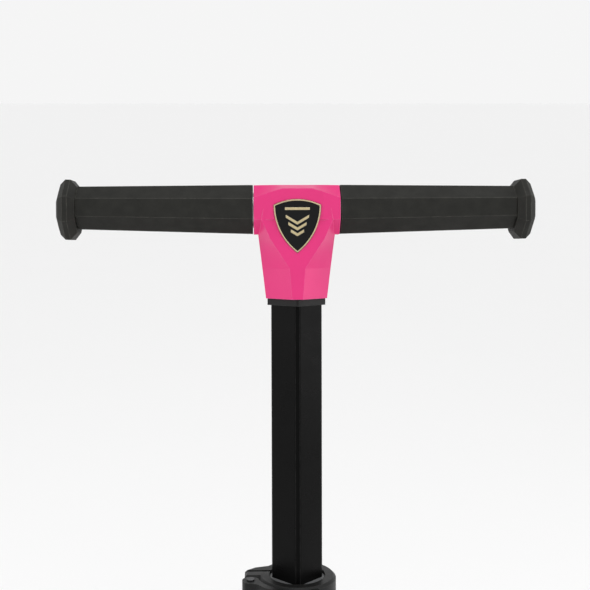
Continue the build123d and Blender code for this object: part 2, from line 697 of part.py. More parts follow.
with BuildPart() as truck:
    with BuildSketch(KING.offset(-HUB_HALF)):
        Circle(HUB_R)
    extrude(amount=2 * HUB_HALF)
    for side in (-1, 1):
        for near, far, s, n in ((0, 60, BEAM_S, BEAM_N), (60, BEAM_END, 8.5, 8.5)):
            with BuildSketch(SIDE_KING.offset(side * near)) as root:
                Rectangle(2 * BEAM_S, 2 * BEAM_N)
                chamfer(root.vertices(), 3.5)
            with BuildSketch(SIDE_KING.offset(side * far)) as tip:
                Rectangle(2 * s, 2 * n)
                chamfer(tip.vertices(), 3.5)
            loft(ruled=True)
    with BuildSketch(KING.offset(-HUB_HALF)):
        Circle(8 + FIT)
    extrude(amount=2 * HUB_HALF, mode=Mode.SUBTRACT)
    with BuildSketch(Plane.YZ.offset(-BEAM_END)):
        with Locations((FRONT_Y, FRONT_R)):
            Circle(AXLE_R + FIT)
    extrude(amount=34, mode=Mode.SUBTRACT)
    with BuildSketch(Plane.YZ.offset(BEAM_END)):
        with Locations((FRONT_Y, FRONT_R)):
            Circle(AXLE_R + FIT)
    extrude(amount=-34, mode=Mode.SUBTRACT)
save(truck.part, "truck_beam")

with BuildPart() as truck_bushes:
    for side in (-1, 1):
        with BuildSketch(KING.offset(side * HUB_HALF)):
            Circle(12)
        extrude(amount=side * BUSH_FLANGE)
        with BuildSketch(KING.offset(side * HUB_HALF)):
            Circle(8)
        extrude(amount=-side * 13)
    with BuildSketch(KING.offset(-30)):
        Circle(KINGPIN_R + RUN)
    extrude(amount=60, mode=Mode.SUBTRACT)
save(truck_bushes.part, "kingpin_bushes")

BUFFER_GAP = 0.15
with BuildPart() as buffers:
    low, high = BEAM_N + BUFFER_GAP, BRIDGE_TOP - BUFFER_GAP
    for side in (-1, 1):
        with BuildSketch(SIDE_KING.offset(side * BUFFER_X)):
            with BuildLine():
                Line((0, low), (BUFFER_R, low))
                ThreePointArc((BUFFER_R, low), (BUFFER_R - 1.6, (low + high) / 2), (BUFFER_R, high))
                Line((BUFFER_R, high), (0, high))
                Line((0, high), (0, low))
            make_face()
        middle = SIDE_KING.offset(side * BUFFER_X)
        revolve(axis=Axis(middle.origin, middle.y_dir))
save(buffers.part, "centring_buffers")


# ---------------------------------------------------------------- wheels
BEARING_R, BEARING_T, SPACER_R = 11.0, 7.0, 6.0


def wheel_face(x, y, radius):
    """Plane across a wheel at its middle: local x is up and local y is along the axle."""
    return Plane(origin=(x, y, radius), x_dir=(0, 0, 1), z_dir=(0, 1, 0))


def wheel(name, x, y, radius, width, rim_r, spokes, crown):
    """Writes tyre, hub, bearings and spacer of one wheel whose middle is at x, y, radius."""
    face = wheel_face(x, y, radius)
    spin = Axis((x, y, radius), (1, 0, 0))
    half = width / 2
    with BuildPart() as tyre:
        with BuildSketch(face) as profile:
            with BuildLine():
                Polyline(
                    (radius - crown, -half), (rim_r + 1.5, -half), (rim_r + 1.5, -half + 3),
                    (rim_r, -half + 3), (rim_r, half - 3), (rim_r + 1.5, half - 3),
                    (rim_r + 1.5, half), (radius - crown, half),
                )
                ThreePointArc((radius - crown, half), (radius, 0), (radius - crown, -half))
            make_face()
        revolve(axis=spin)
    save(tyre.part, f"{name}_tyre")
    with BuildPart() as hub:
        with BuildSketch(face):
            with BuildLine():
                Polyline(
                    (rim_r, -half + 3), (rim_r, half - 3), (rim_r - 4, half - 3),
                    (rim_r - 5, 4), (17, 4), (15.5, half), (0, half), (0, -half),
                    (15.5, -half), (17, -4), (rim_r - 5, -4), (rim_r - 4, -half + 3), close=True,
                )
            make_face()
        revolve(axis=spin)
        web = (17 + rim_r - 5) / 2
        with BuildSketch(Plane.YZ.offset(x - half)):
            with Locations((y, radius)):
                with PolarLocations(web, spokes):
                    SlotCenterToCenter(0.1 + (rim_r - 22) * 0.25, (rim_r - 22) * 0.62, rotation=90)
        extrude(amount=width, mode=Mode.SUBTRACT)
        for side in (-1, 1):
            with BuildSketch(Plane.YZ.offset(x + side * half)):
                with Locations((y, radius)):
                    Circle(BEARING_R + FIT)
            extrude(amount=-side * BEARING_T, mode=Mode.SUBTRACT)
        with BuildSketch(Plane.YZ.offset(x - half)):
            with Locations((y, radius)):
                Circle(SPACER_R + 1.5)
        extrude(amount=width, mode=Mode.SUBTRACT)
    save(hub.part, f"{name}_hub")
    with BuildPart() as bearings:
        for side in (-1, 1):
            with BuildSketch(Plane.YZ.offset(x + side * half)):
                with Locations((y, radius)):
                    Circle(BEARING_R)
                    Circle(AXLE_R + RUN, mode=Mode.SUBTRACT)
            extrude(amount=-side * BEARING_T)
            with BuildSketch(Plane.YZ.offset(x + side * half)):
                with Locations((y, radius)):
                    Circle(9.2)
                    Circle(6.2, mode=Mode.SUBTRACT)
            extrude(amount=-side * 0.5, mode=Mode.SUBTRACT)
    save(bearings.part, f"{name}_bearings")
    with BuildPart() as spacer:
        with BuildSketch(Plane.YZ.offset(x - half + BEARING_T)):
            with Locations((y, radius)):
                Circle(SPACER_R)
                Circle(AXLE_R + RUN, mode=Mode.SUBTRACT)
        extrude(amount=width - 2 * BEARING_T)
    save(spacer.part, f"{name}_bearing_spacer")


for side, name in ((-1, "right"), (1, "left")):
    wheel(f"front_{name}", side * FRONT_X, FRONT_Y, FRONT_R, FRONT_W, 42.0, 5, 6.0)
wheel("rear", 0, REAR_Y, REAR_R, REAR_W, 31.0, 6, 5.0)

AXLE_OUT = FRONT_X + FRONT_W / 2 + 0.3
with BuildPart() as front_axles:
    for side in (-1, 1):
        with BuildSketch(Plane.YZ.offset(side * (BEAM_END - 33))):
            with Locations((FRONT_Y, FRONT_R)):
                Circle(AXLE_R)
        extrude(amount=side * (AXLE_OUT + 5 - BEAM_END + 33))
        with BuildSketch(Plane.YZ.offset(side * AXLE_OUT)):
            with Locations((FRONT_Y, FRONT_R)):
                Circle(7.5)
                Circle(AXLE_R, mode=Mode.SUBTRACT)
        extrude(amount=side * 5)
        with BuildSketch(Plane.YZ.offset(side * (AXLE_OUT + 5))):
            with Locations((FRONT_Y, FRONT_R)):
                RegularPolygon(3.0, 6)
        extrude(amount=-side * 3, mode=Mode.SUBTRACT)
save(front_axles.part, "front_axle_bolts")

# ---------------------------------------------------------------- deck
DECK_BACK, SLOT_HALF, ARM_OUT = 170.0, 24.0, 35.0
WALL, SKIN = 3.5, 3.0
MAT_T, MAT_DEPTH, MAT_INSET = 2.6, 1.2, 9.0
PAN_T = 2.0
OUTLINE = [
    (36, HEAD_BACK), (46, -122), (60, -66), (63, 0), (61, 70), (50, 140), (40, DECK_BACK),
]


def deck_outline():
    """Half of the deck's outline as a face, the other half to be mirrored."""
    with BuildSketch() as face:
        Polygon(*mirrored_polygon(OUTLINE), align=None)
    return face.sketch


DECK = deck_outline()
ARM_SIDE = ((140, 50), (140, 70), (176, 70), (212, 62), (236, 56), (240, 45), (232, 34), (216, 34))
PIN_Y, PIN_Z, HINGE_R = 164.0, 82.0, 3.0
LUG_IN_X, LUG_OUT_X = 12.0, 17.0
PAN_SCREWS = [(x, y) for x in (-36, 36) for y in (-90, 20, 110)]

with BuildPart() as deck:
    with BuildSketch(Plane.XY.offset(DECK_LOW)):
        add(DECK)
    extrude(amount=DECK_TOP - DECK_LOW)
    chamfer(deck.faces().sort_by(Axis.Z)[-1].edges(), 3)
    chamfer(deck.faces().sort_by(Axis.Z)[0].edges().filter_by(Axis.X, reverse=True), 6, 9)
    for side in (-1, 1):
        with BuildSketch(Plane.YZ.offset(side * SLOT_HALF)):
            Polygon(*ARM_SIDE, align=None)
        extrude(amount=side * (ARM_OUT - SLOT_HALF))
        with BuildSketch(Plane.YZ.offset(side * LUG_IN_X)):
            with BuildLine():
                Polyline(
                    (PIN_Y - 14, DECK_TOP - 2), (PIN_Y - 5, PIN_Z + 3), (PIN_Y, PIN_Z + 5),
                    (PIN_Y + 5, PIN_Z + 3), (PIN_Y + 6, DECK_TOP - 2), close=True,
                )
            make_face()
        extrude(amount=side * (LUG_OUT_X - LUG_IN_X))
    with BuildSketch(Plane.XY.offset(DECK_LOW)):
        add(DECK)
        offset(amount=-WALL - 4, kind=Kind.INTERSECTION, mode=Mode.REPLACE)
    extrude(amount=DECK_TOP - DECK_LOW - SKIN - MAT_DEPTH, mode=Mode.SUBTRACT)
    for y in (-95, -40, 20, 80, 130):
        with BuildSketch(Plane.XY.offset(DECK_LOW + PAN_T)):
            with Locations((0, y)):
                Rectangle(96 if abs(y) < 100 else 76, 3)
        extrude(amount=20)
    with BuildSketch(Plane.XY.offset(DECK_LOW + PAN_T)):
        with Locations((0, 15)):
            Rectangle(3, 2 * 145)
    extrude(amount=20)
    with BuildSketch(Plane.XY.offset(DECK_LOW + PAN_T)):
        with Locations(PAN_SCREWS):
            Circle(4)
    extrude(amount=20)
    with BuildSketch(Plane.XY.offset(DECK_TOP)):
        add(DECK)
        offset(amount=-MAT_INSET, kind=Kind.INTERSECTION, mode=Mode.REPLACE)
        with Locations((0, 200)):
            Rectangle(200, 2 * (200 - 138), mode=Mode.SUBTRACT)
    extrude(amount=-MAT_DEPTH, mode=Mode.SUBTRACT)
    with BuildSketch(Plane.XY.offset(DECK_LOW)):
        with Locations(PAN_SCREWS):
            Circle(1.6)
    extrude(amount=14, mode=Mode.SUBTRACT)
    with BuildSketch(Plane.YZ.offset(-60)):
        with Locations((REAR_Y, REAR_R)):
            Circle(AXLE_R + FIT)
        with Locations((PIN_Y, PIN_Z)):
            Circle(HINGE_R + FIT)
    extrude(amount=120, mode=Mode.SUBTRACT)
    add(neck_holes, mode=Mode.SUBTRACT)
save(deck.part, "deck_body")

with BuildPart() as mat:
    with BuildSketch(Plane.XY.offset(DECK_TOP - MAT_DEPTH)):
        add(DECK)
        offset(amount=-MAT_INSET - 0.2, kind=Kind.INTERSECTION, mode=Mode.REPLACE)
        with Locations((0, 200)):
            Rectangle(200, 2 * (200 - 137.8), mode=Mode.SUBTRACT)
    extrude(amount=MAT_T)
    chamfer(mat.faces().sort_by(Axis.Z)[-1].edges(), 0.8)
save(mat.part, "deck_mat")

with BuildPart() as pan:
    with BuildSketch(Plane.XY.offset(DECK_LOW)):
        add(DECK)
        offset(amount=-WALL - 4.2, kind=Kind.INTERSECTION, mode=Mode.REPLACE)
        with Locations(PAN_SCREWS):
            Circle(1.65, mode=Mode.SUBTRACT)
    extrude(amount=PAN_T)
save(pan.part, "deck_base_plate")

with BuildPart() as pan_screws:
    with BuildSketch(Plane.XY.offset(DECK_LOW)):
        with Locations(PAN_SCREWS):
            Circle(1.55)
    extrude(amount=13)
    with BuildSketch(Plane.XY.offset(DECK_LOW)):
        with Locations(PAN_SCREWS):
            Circle(3.2)
    extrude(amount=-1.6)
save(pan_screws.part, "base_plate_screws")

TRIM_LOW, TRIM_HIGH, TRIM_OUT = 60.0, 67.0, 2.4
with BuildPart() as trims:
    with BuildSketch(Plane.XY.offset(TRIM_LOW)):
        add(DECK)
        offset(amount=TRIM_OUT, kind=Kind.INTERSECTION, mode=Mode.REPLACE)
        add(DECK, mode=Mode.SUBTRACT)
        with Locations((0, -202), (0, 220)):
            Rectangle(300, 180, mode=Mode.SUBTRACT)
    extrude(amount=TRIM_HIGH - TRIM_LOW)
save(trims.part, "deck_trims")

# ---------------------------------------------------------------- nose cover
NOSE_LOW, NOSE_TOP, NOSE_WALL = 88.5, 111.5, 3.0
NOSE_FOOT = [(12, -264), (37, -244), (48, -200), (46, -152), (40, -130)]
NOSE_MID = [(10, -260), (33, -241), (43, -200), (41, -154), (37, -133)]
NOSE_ROOF = [(8, -238), (26, -229), (29, -198), (29, -160), (27, -146)]


def shrink(half, by):
    """Half outline moved inwards by about the same amount all round."""
    middle = (half[0][1] + half[-1][1]) / 2
    reach = (half[-1][1] - half[0][1]) / 2
    return [(x - by, middle + (y - middle) * (reach - by) / reach) for x, y in half]


with BuildPart() as nose:
    for z, half in ((NOSE_LOW, NOSE_FOOT), (NOSE_LOW + 8, NOSE_MID), (NOSE_TOP, NOSE_ROOF)):
        with BuildSketch(Plane.XY.offset(z)):
            Polygon(*mirrored_polygon(half), align=None)
    loft(ruled=True)
    levels = ((NOSE_LOW, NOSE_FOOT), (NOSE_LOW + 7, NOSE_MID), (NOSE_TOP - NOSE_WALL, NOSE_ROOF))
    for z, half in levels:
        with BuildSketch(Plane.XY.offset(z)):
            Polygon(*mirrored_polygon(shrink(half, NOSE_WALL)), align=None)
    loft(ruled=True, mode=Mode.SUBTRACT)
    with BuildSketch(Plane.XY.offset(NOSE_LOW)):
        with Locations((0, PIVOT_Y + 2)):
            Rectangle(2 * (CHEEK_OUT + 1.2), 94)
    extrude(amount=40, mode=Mode.SUBTRACT)
    with BuildSketch(Plane.XY.offset(NOSE_LOW)):
        with Locations((0, PIVOT_Y + 14)):
            Rectangle(68, 130)
    extrude(amount=PLATE_TOP + 0.2 - NOSE_LOW, mode=Mode.SUBTRACT)
    with BuildSketch(Plane.XY.offset(NOSE_LOW)):
        with Locations(BRACKET_SCREWS):
            Circle(4.8)
    extrude(amount=PLATE_TOP + 3 - NOSE_LOW, mode=Mode.SUBTRACT)
save(nose.part, "nose_cover")

# ---------------------------------------------------------------- rear axle and foot brake
REAR_HALF = REAR_W / 2
REAR = Plane(origin=(0, REAR_Y, REAR_R), x_dir=(0, 1, 0), z_dir=(1, 0, 0))
save(cross_bolt(REAR, ARM_OUT + 0.05, AXLE_R, 7.0, 4.5), "rear_axle")
with BuildPart() as side_spacers:
    for side in (-1, 1):
        with BuildSketch(REAR.offset(side * (REAR_HALF + 0.05))):
            Circle(6.2)
            Circle(AXLE_R + FIT, mode=Mode.SUBTRACT)
        extrude(amount=side * (SLOT_HALF - REAR_HALF - 0.1))
save(side_spacers.part, "rear_side_spacers")

FENDER_GAP, FENDER_T, FENDER_HALF = 9.0, 3.0, 21.0
FENDER_FROM, FENDER_TO = 24.0, 122.0
with BuildPart() as fender:
    with BuildSketch(REAR.offset(-FENDER_HALF)):
        with BuildLine():
            under = CenterArc((0, 0), REAR_R + FENDER_GAP, FENDER_FROM, FENDER_TO - FENDER_FROM)
            over = CenterArc(
                (0, 0), REAR_R + FENDER_GAP + FENDER_T, FENDER_FROM, FENDER_TO - FENDER_FROM
            )
            Line(under @ 0, over @ 0)
            Line(under @ 1, over @ 1)
        make_face()
    extrude(amount=2 * FENDER_HALF)
    for side in (-1, 1):
        with BuildSketch(REAR.offset(side * (LUG_OUT_X + 0.4))):
            with BuildLine():
                Polyline(
                    (PIN_Y - REAR_Y - 6, PIN_Z - REAR_R), (PIN_Y - REAR_Y - 4, PIN_Z - REAR_R + 6),
                    (-32, 47), (-24, 50.5), (-28, 44), (-36, 38), (PIN_Y - REAR_Y + 5, PIN_Z - REAR_R - 4),
                    (PIN_Y - REAR_Y - 3, PIN_Z - REAR_R - 5), close=True,
                )
            make_face()
        extrude(amount=side * 3.6)
    with BuildSketch(REAR.offset(-40)):
        with Locations((PIN_Y - REAR_Y, PIN_Z - REAR_R)):
            Circle(HINGE_R + RUN)
    extrude(amount=80, mode=Mode.SUBTRACT)
save(fender.part, "brake_fender")

PAD_HALF, PAD_T, PAD_FROM, PAD_SWEEP = 15.0, 2.0, 70.0, 36.0
with BuildPart() as pad:
    with BuildSketch(REAR.offset(-PAD_HALF)):
        with BuildLine():
            outer = CenterArc((0, 0), REAR_R + FENDER_GAP, PAD_FROM, PAD_SWEEP)
            inner = CenterArc((0, 0), REAR_R + FENDER_GAP - PAD_T, PAD_FROM, PAD_SWEEP)
            Line(outer @ 0, inner @ 0)
            Line(outer @ 1, inner @ 1)
        make_face()
    extrude(amount=2 * PAD_HALF)
save(pad.part, "brake_pad")

HINGE = Plane(origin=(0, PIN_Y, PIN_Z), x_dir=(0, 1, 0), z_dir=(1, 0, 0))
with BuildPart() as hinge_pin:
    with BuildSketch(HINGE.offset(-LUG_OUT_X - 5)):
        Circle(HINGE_R)
    extrude(amount=2 * (LUG_OUT_X + 5))
    for side in (-1, 1):
        with BuildSketch(HINGE.offset(side * (LUG_OUT_X + 5))):
            Circle(4.6)
        extrude(amount=side * 1.6)
save(hinge_pin.part, "brake_hinge_pin")

SPRING_WIRE, SPRING_R, SPRING_TURNS = 0.8, 4.6, 6
HINGE_AXIS = Axis((0, PIN_Y, PIN_Z), (1, 0, 0))
with BuildPart() as spring:
    for turn in range(SPRING_TURNS):
        with BuildSketch(Plane(origin=(0, PIN_Y, PIN_Z), x_dir=(1, 0, 0), z_dir=(0, 1, 0))):
            with Locations(((turn - (SPRING_TURNS - 1) / 2) * 2 * SPRING_WIRE * 0.96, SPRING_R)):
                Circle(SPRING_WIRE)
        revolve(axis=HINGE_AXIS)
save(spring.part, "brake_spring")
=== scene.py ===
from math import cos, pi, radians, sin, sqrt

import bpy
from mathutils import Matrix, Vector


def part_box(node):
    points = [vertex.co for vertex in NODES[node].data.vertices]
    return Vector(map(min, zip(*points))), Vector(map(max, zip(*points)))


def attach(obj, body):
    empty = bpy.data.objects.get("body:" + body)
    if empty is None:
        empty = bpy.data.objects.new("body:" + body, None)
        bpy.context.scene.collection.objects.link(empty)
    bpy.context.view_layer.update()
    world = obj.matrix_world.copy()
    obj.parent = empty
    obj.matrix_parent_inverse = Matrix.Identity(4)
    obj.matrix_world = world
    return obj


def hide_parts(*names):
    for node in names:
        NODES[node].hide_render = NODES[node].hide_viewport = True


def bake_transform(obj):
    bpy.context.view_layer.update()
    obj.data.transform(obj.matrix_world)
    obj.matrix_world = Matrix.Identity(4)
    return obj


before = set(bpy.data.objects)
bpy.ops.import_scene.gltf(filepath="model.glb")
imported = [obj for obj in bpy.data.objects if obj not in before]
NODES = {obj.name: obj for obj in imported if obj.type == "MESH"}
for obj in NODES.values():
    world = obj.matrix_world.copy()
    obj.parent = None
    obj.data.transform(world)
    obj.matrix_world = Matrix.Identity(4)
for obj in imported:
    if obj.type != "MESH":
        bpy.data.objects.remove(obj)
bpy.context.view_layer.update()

MM = 0.001


# ---------------------------------------------------------------- camera
# The camera stands in front, a little to the left of and above the handlebar.
CAMERA_AT = Vector((-0.0212, -0.6291, 0.6722))
CAMERA_AZIMUTH, CAMERA_ELEVATION = -1.01, 11.39
CAMERA_LENS = 52.6
CAMERA_SHIFT = (0.03, -0.04)
CAMERA_CLIP = (0.01, 100.0)


def back_vector(azimuth, elevation):
    """Unit vector from what is looked at back to the camera, from angles in degrees."""
    a, e = radians(azimuth), radians(elevation)
    return Vector((sin(a) * cos(e), -cos(a) * cos(e), sin(e)))


def make_camera():
    data = bpy.data.cameras.new("camera")
    data.lens = CAMERA_LENS
    data.shift_x, data.shift_y = CAMERA_SHIFT
    data.clip_start, data.clip_end = CAMERA_CLIP
    camera = bpy.data.objects.new("camera", data)
    back = back_vector(CAMERA_AZIMUTH, CAMERA_ELEVATION)
    camera.location = CAMERA_AT
    camera.rotation_euler = back.to_track_quat("Z", "Y").to_euler()
    bpy.context.scene.collection.objects.link(camera)
    bpy.context.scene.camera = camera


make_camera()


# ---------------------------------------------------------------- materials
BEVEL_SAMPLES = 6
FLAT_DOT, EDGE_DOT = 0.99, 0.88      # rounded against true normal: off every edge, and fully on one
CLOUD_FROM, CLOUD_TO = 0.3, 0.7      # the part of a noise's range that is stretched to the whole
# Noise that breaks up the lightened edges, which are partly wear and partly painted highlight.
WEAR_AND_HIGHLIGHT_NOISE, WEAR_AND_HIGHLIGHT_DETAIL, WEAR_AND_HIGHLIGHT_ROUGH, WEAR_AND_HIGHLIGHT_FROM, WEAR_AND_HIGHLIGHT_TO = 260.0, 5.0, 0.7, 0.2, 0.62
DUST_NOISE, DUST_FROM, DUST_TO, DUST_BRIGHT = 1400.0, 0.62, 0.72, 3.0
SCRATCH_NOISE, SCRATCH_ROUGH, SCRATCH_FROM, SCRATCH_TO = 60.0, 0.6, 0.60, 0.64
SCRATCH_STRETCH, SCRATCH_TURN = (1.0, 1.0, 45.0), (12, 20, 8)
GLOSS_NOISE = 90.0


def srgb(r, g, b):
    """Linear colour of an 8-bit display colour."""
    out = []
    for v in (r, g, b):
        v /= 255
        out.append(v / 12.92 if v <= 0.04045 else ((v + 0.055) / 1.055) ** 2.4)
    return (*out, 1.0)


def scaled(colour, factor):
    return (*(min(1.0, c * factor) for c in colour[:3]), 1.0)


class Tree:
    """Small helper around one material's node tree."""

    def __init__(self, name):
        self.material = bpy.data.materials.new(name)
        self.material.use_nodes = True
        self.nodes = self.material.node_tree.nodes
        self.nodes.clear()
        self.out = self.nodes.new("ShaderNodeOutputMaterial")
        self.shader = self.nodes.new("ShaderNodeBsdfPrincipled")
        self.join(self.shader.outputs["BSDF"], self.out.inputs["Surface"])
        self.coords = self.nodes.new("ShaderNodeTexCoord").outputs["Object"]

    def join(self, a, b):
        self.material.node_tree.links.new(a, b)

    def set(self, **values):
        for key, value in values.items():
            self.shader.inputs[key.replace("_", " ")].default_value = value

    def stretched(self, scale, turn):
        """Object coordinates turned by degrees about the axes and scaled along them."""
        node = self.nodes.new("ShaderNodeMapping")
        node.inputs["Scale"].default_value = scale
        node.inputs["Rotation"].default_value = [radians(v) for v in turn]
        self.join(self.coords, node.inputs["Vector"])
        return node.outputs["Vector"]

    def noise(self, scale, detail=3.0, rough=0.55, vector=None):
        node = self.nodes.new("ShaderNodeTexNoise")
        node.inputs["Scale"].default_value = scale
        node.inputs["Detail"].default_value = detail
        node.inputs["Roughness"].default_value = rough
        self.join(vector or self.coords, node.inputs["Vector"])
        return node.outputs["Fac"]

    def spread(self, value, from_low, from_high, low, high):
        """Maps from_low..from_high to low..high, held at both ends."""
        node = self.nodes.new("ShaderNodeMapRange")
        node.inputs["From Min"].default_value = from_low
        node.inputs["From Max"].default_value = from_high
        node.inputs["To Min"].default_value = low
        node.inputs["To Max"].default_value = high
        self.join(value, node.inputs["Value"])
        return node.outputs["Result"]

    def times(self, a, b):
        node = self.nodes.new("ShaderNodeMath")
        node.operation = "MULTIPLY"
        self.join(a, node.inputs[0])
        self.join(b, node.inputs[1])
        return node.outputs["Value"]

    def mix(self, factor, a, b):
        """Colour a where factor is 0 and b where it is 1; each is a colour or a socket."""
        node = self.nodes.new("ShaderNodeMix")
        node.data_type = "RGBA"
        for value, key in ((a, "A"), (b, "B")):
            socket = next(s for s in node.inputs if s.name == key and s.type == "RGBA")
            if isinstance(value, tuple):
                socket.default_value = value
            else:
                self.join(value, socket)
        self.join(factor, node.inputs[0])
        return next(s for s in node.outputs if s.type == "RGBA")

    def rounded(self, radius):
        """Normal with edges rounded by radius, and how much of an edge a point is on."""
        bevel = self.nodes.new("ShaderNodeBevel")
        bevel.samples = BEVEL_SAMPLES
        bevel.inputs["Radius"].default_value = radius
        geometry = self.nodes.new("ShaderNodeNewGeometry")
        dot = self.nodes.new("ShaderNodeVectorMath")
        dot.operation = "DOT_PRODUCT"
        self.join(bevel.outputs["Normal"], dot.inputs[0])
        self.join(geometry.outputs["Normal"], dot.inputs[1])
        return bevel.outputs["Normal"], self.spread(dot.outputs["Value"], FLAT_DOT, EDGE_DOT, 0.0, 1.0)

    def bump(self, height, distance, normal):
        node = self.nodes.new("ShaderNodeBump")
        node.inputs["Distance"].default_value = distance
        self.join(height, node.inputs["Height"])
        self.join(normal, node.inputs["Normal"])
        return node.outputs["Normal"]


def finish_material(
    name, colour, roughness, mottle=0.06, mottle_scale=40.0, grain_scale=2500.0, grain=0.00003,
    edge=0.0004, worn_and_highlit_edge=None, wear_and_highlight=0.5, rough_range=0.05, scratches=0.0, dust=0.0, **sockets,
):
    """One moulded, painted or metal finish: mottled colour, grain, edges lightened as wear and as
    painted highlight, and uneven gloss.
    """
    t = Tree(name)
    cloud = t.spread(t.noise(mottle_scale, 4.0), CLOUD_FROM, CLOUD_TO, 0.0, 1.0)
    base = t.mix(cloud, scaled(colour, 1 - mottle), scaled(colour, 1 + mottle))
    normal, on_edge = t.rounded(edge)
    # Edges are lightened towards the given colour: partly edge wear, partly a painted highlight
    # standing in for light caught on rounded creases.
    if worn_and_highlit_edge:
        wear_and_highlight_patches = t.spread(t.noise(WEAR_AND_HIGHLIGHT_NOISE, WEAR_AND_HIGHLIGHT_DETAIL, WEAR_AND_HIGHLIGHT_ROUGH), WEAR_AND_HIGHLIGHT_FROM, WEAR_AND_HIGHLIGHT_TO, 0.0, wear_and_highlight)
        base = t.mix(t.times(on_edge, wear_and_highlight_patches), base, worn_and_highlit_edge)
    if dust:
        specks = t.spread(t.noise(DUST_NOISE, 2.0), DUST_FROM, DUST_TO, 0.0, dust)
        base = t.mix(specks, base, scaled(colour, DUST_BRIGHT))
    fine = t.noise(grain_scale, 2.0)
    normal = t.bump(fine, grain, normal)
    if scratches:
        along = t.stretched(SCRATCH_STRETCH, SCRATCH_TURN)
        lines = t.noise(SCRATCH_NOISE, 3.0, SCRATCH_ROUGH, along)
        normal = t.bump(t.spread(lines, SCRATCH_FROM, SCRATCH_TO, 1.0, 0.0), scratches, normal)
    clouds = t.noise(GLOSS_NOISE, 4.0)
    gloss = t.spread(clouds, CLOUD_FROM, CLOUD_TO, roughness - rough_range, roughness + rough_range)
    t.join(base, t.shader.inputs["Base Color"])
    t.join(gloss, t.shader.inputs["Roughness"])
    t.join(normal, t.shader.inputs["Normal"])
    t.set(**sockets)
    return t.material


# Each finish's edge colour is partly wear and partly painted highlight where rounded edges would catch
# light.
MATERIALS = {
    "pink_plastic": finish_material(
        "pink_moulded_plastic", srgb(228, 48, 124), 0.34, mottle=0.025, grain_scale=3200.0,
        # Pale pink on the edges is a painted highlight along the creases, with some wear.
        grain=0.000012, edge=0.0006, worn_and_highlit_edge=srgb(255, 140, 190), wear_and_highlight=0.6, Specular_IOR_Level=0.35,
    ),
    "black_plastic": finish_material(
        "black_moulded_plastic", srgb(25, 25, 25), 0.42, mottle=0.14, grain_scale=2600.0,
        grain=0.00004, edge=0.0005, worn_and_highlit_edge=srgb(82, 82, 80), wear_and_highlight=0.6, Specular_IOR_Level=0.18,
    ),
    "black_paint": finish_material(
        "black_satin_paint", srgb(9, 9, 9), 0.3, mottle=0.12, grain_scale=1900.0,
        grain=0.00002, edge=0.0005, worn_and_highlit_edge=srgb(80, 80, 80), wear_and_highlight=0.4, scratches=0.000006,
        Specular_IOR_Level=0.06,
    ),
    "black_rubber": finish_material(
        "black_grip_rubber", srgb(36, 36, 33), 0.6, mottle=0.2, mottle_scale=120.0,
        # Light grey on the edges is a painted highlight along the grip's facet creases, with some
        # wear.
        grain_scale=1500.0, grain=0.00007, edge=0.0008, worn_and_highlit_edge=srgb(105, 104, 98), wear_and_highlight=0.8,
        dust=0.12, Specular_IOR_Level=0.2,
    ),
    "black_tyre": finish_material(
        "black_tyre_rubber", srgb(38, 38, 37), 0.62, mottle=0.2, mottle_scale=70.0,
        grain_scale=1300.0, grain=0.00009, worn_and_highlit_edge=srgb(96, 94, 90), wear_and_highlight=0.7,
        dust=0.3, Specular_IOR_Level=0.35,
    ),
    "buffer_rubber": finish_material(
        "buffer_rubber", srgb(52, 51, 49), 0.66, mottle=0.15, mottle_scale=200.0,
        grain_scale=1800.0, grain=0.00006, edge=0.0003, Specular_IOR_Level=0.35,
    ),
    "steel": finish_material(
        "zinc_plated_steel", srgb(196, 197, 200), 0.3, mottle=0.08, mottle_scale=180.0,
        grain_scale=3000.0, grain=0.000015, edge=0.0003, worn_and_highlit_edge=srgb(235, 235, 235), wear_and_highlight=0.6,
        rough_range=0.08, scratches=0.00001, Metallic=1.0,
    ),
    "grey_plastic": finish_material(
        "grey_bearing_plastic", srgb(104, 105, 106), 0.5, grain_scale=2400.0,
        edge=0.0003, worn_and_highlit_edge=srgb(150, 150, 150), Specular_IOR_Level=0.35,
    ),
    "black_gloss": finish_material(
        "black_gloss_enamel", srgb(12, 12, 13), 0.14, mottle=0.1, grain_scale=900.0,
        grain=0.000004, edge=0.0003, rough_range=0.03, Specular_IOR_Level=0.12,
        Coat_Weight=0.12, Coat_Roughness=0.06,
    ),
    "gold_trim": finish_material(
        "brushed_gold_trim", srgb(206, 190, 150), 0.24, mottle=0.07, mottle_scale=300.0,
        grain_scale=3500.0, grain=0.00001, edge=0.0002, worn_and_highlit_edge=srgb(240, 236, 220), wear_and_highlight=0.7,
        Metallic=1.0,
    ),
}
# Some small steel pieces have a dark finish.
DARK_STEEL = finish_material(
    "blackened_steel", srgb(70, 70, 72), 0.36, mottle=0.1, mottle_scale=180.0,
    grain_scale=3000.0, grain=0.000015, edge=0.0003, worn_and_highlit_edge=srgb(150, 150, 150),
    scratches=0.00001, Metallic=1.0,
)
BLACKENED = {"lever_pins", "clamp_bolt", "head_screws", "t_housing_screws"}
for name, node in NODES.items():
    for socket in node.material_slots:
        slot = socket.material.name.split(".")[0]
        socket.material = DARK_STEEL if name in BLACKENED else MATERIALS[slot]


# ---------------------------------------------------------------- mesh helpers
def piece(name, verts, faces, body, slot, replaced=None, sharp=35):
    """A new mesh piece on a body, with its slot's finish and edges over sharp degrees kept."""
    mesh = bpy.data.meshes.new(name)
    mesh.from_pydata([tuple(v) for v in verts], [], faces)
    mesh.validate()
    mesh.shade_smooth()
    mesh.set_sharp_from_angle(angle=radians(sharp))
    obj = bpy.data.objects.new(name, mesh)
    bpy.context.scene.collection.objects.link(obj)
    mesh.materials.append(MATERIALS[slot])
    if replaced:
        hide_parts(replaced)
    if body:
        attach(obj, body)
    return obj


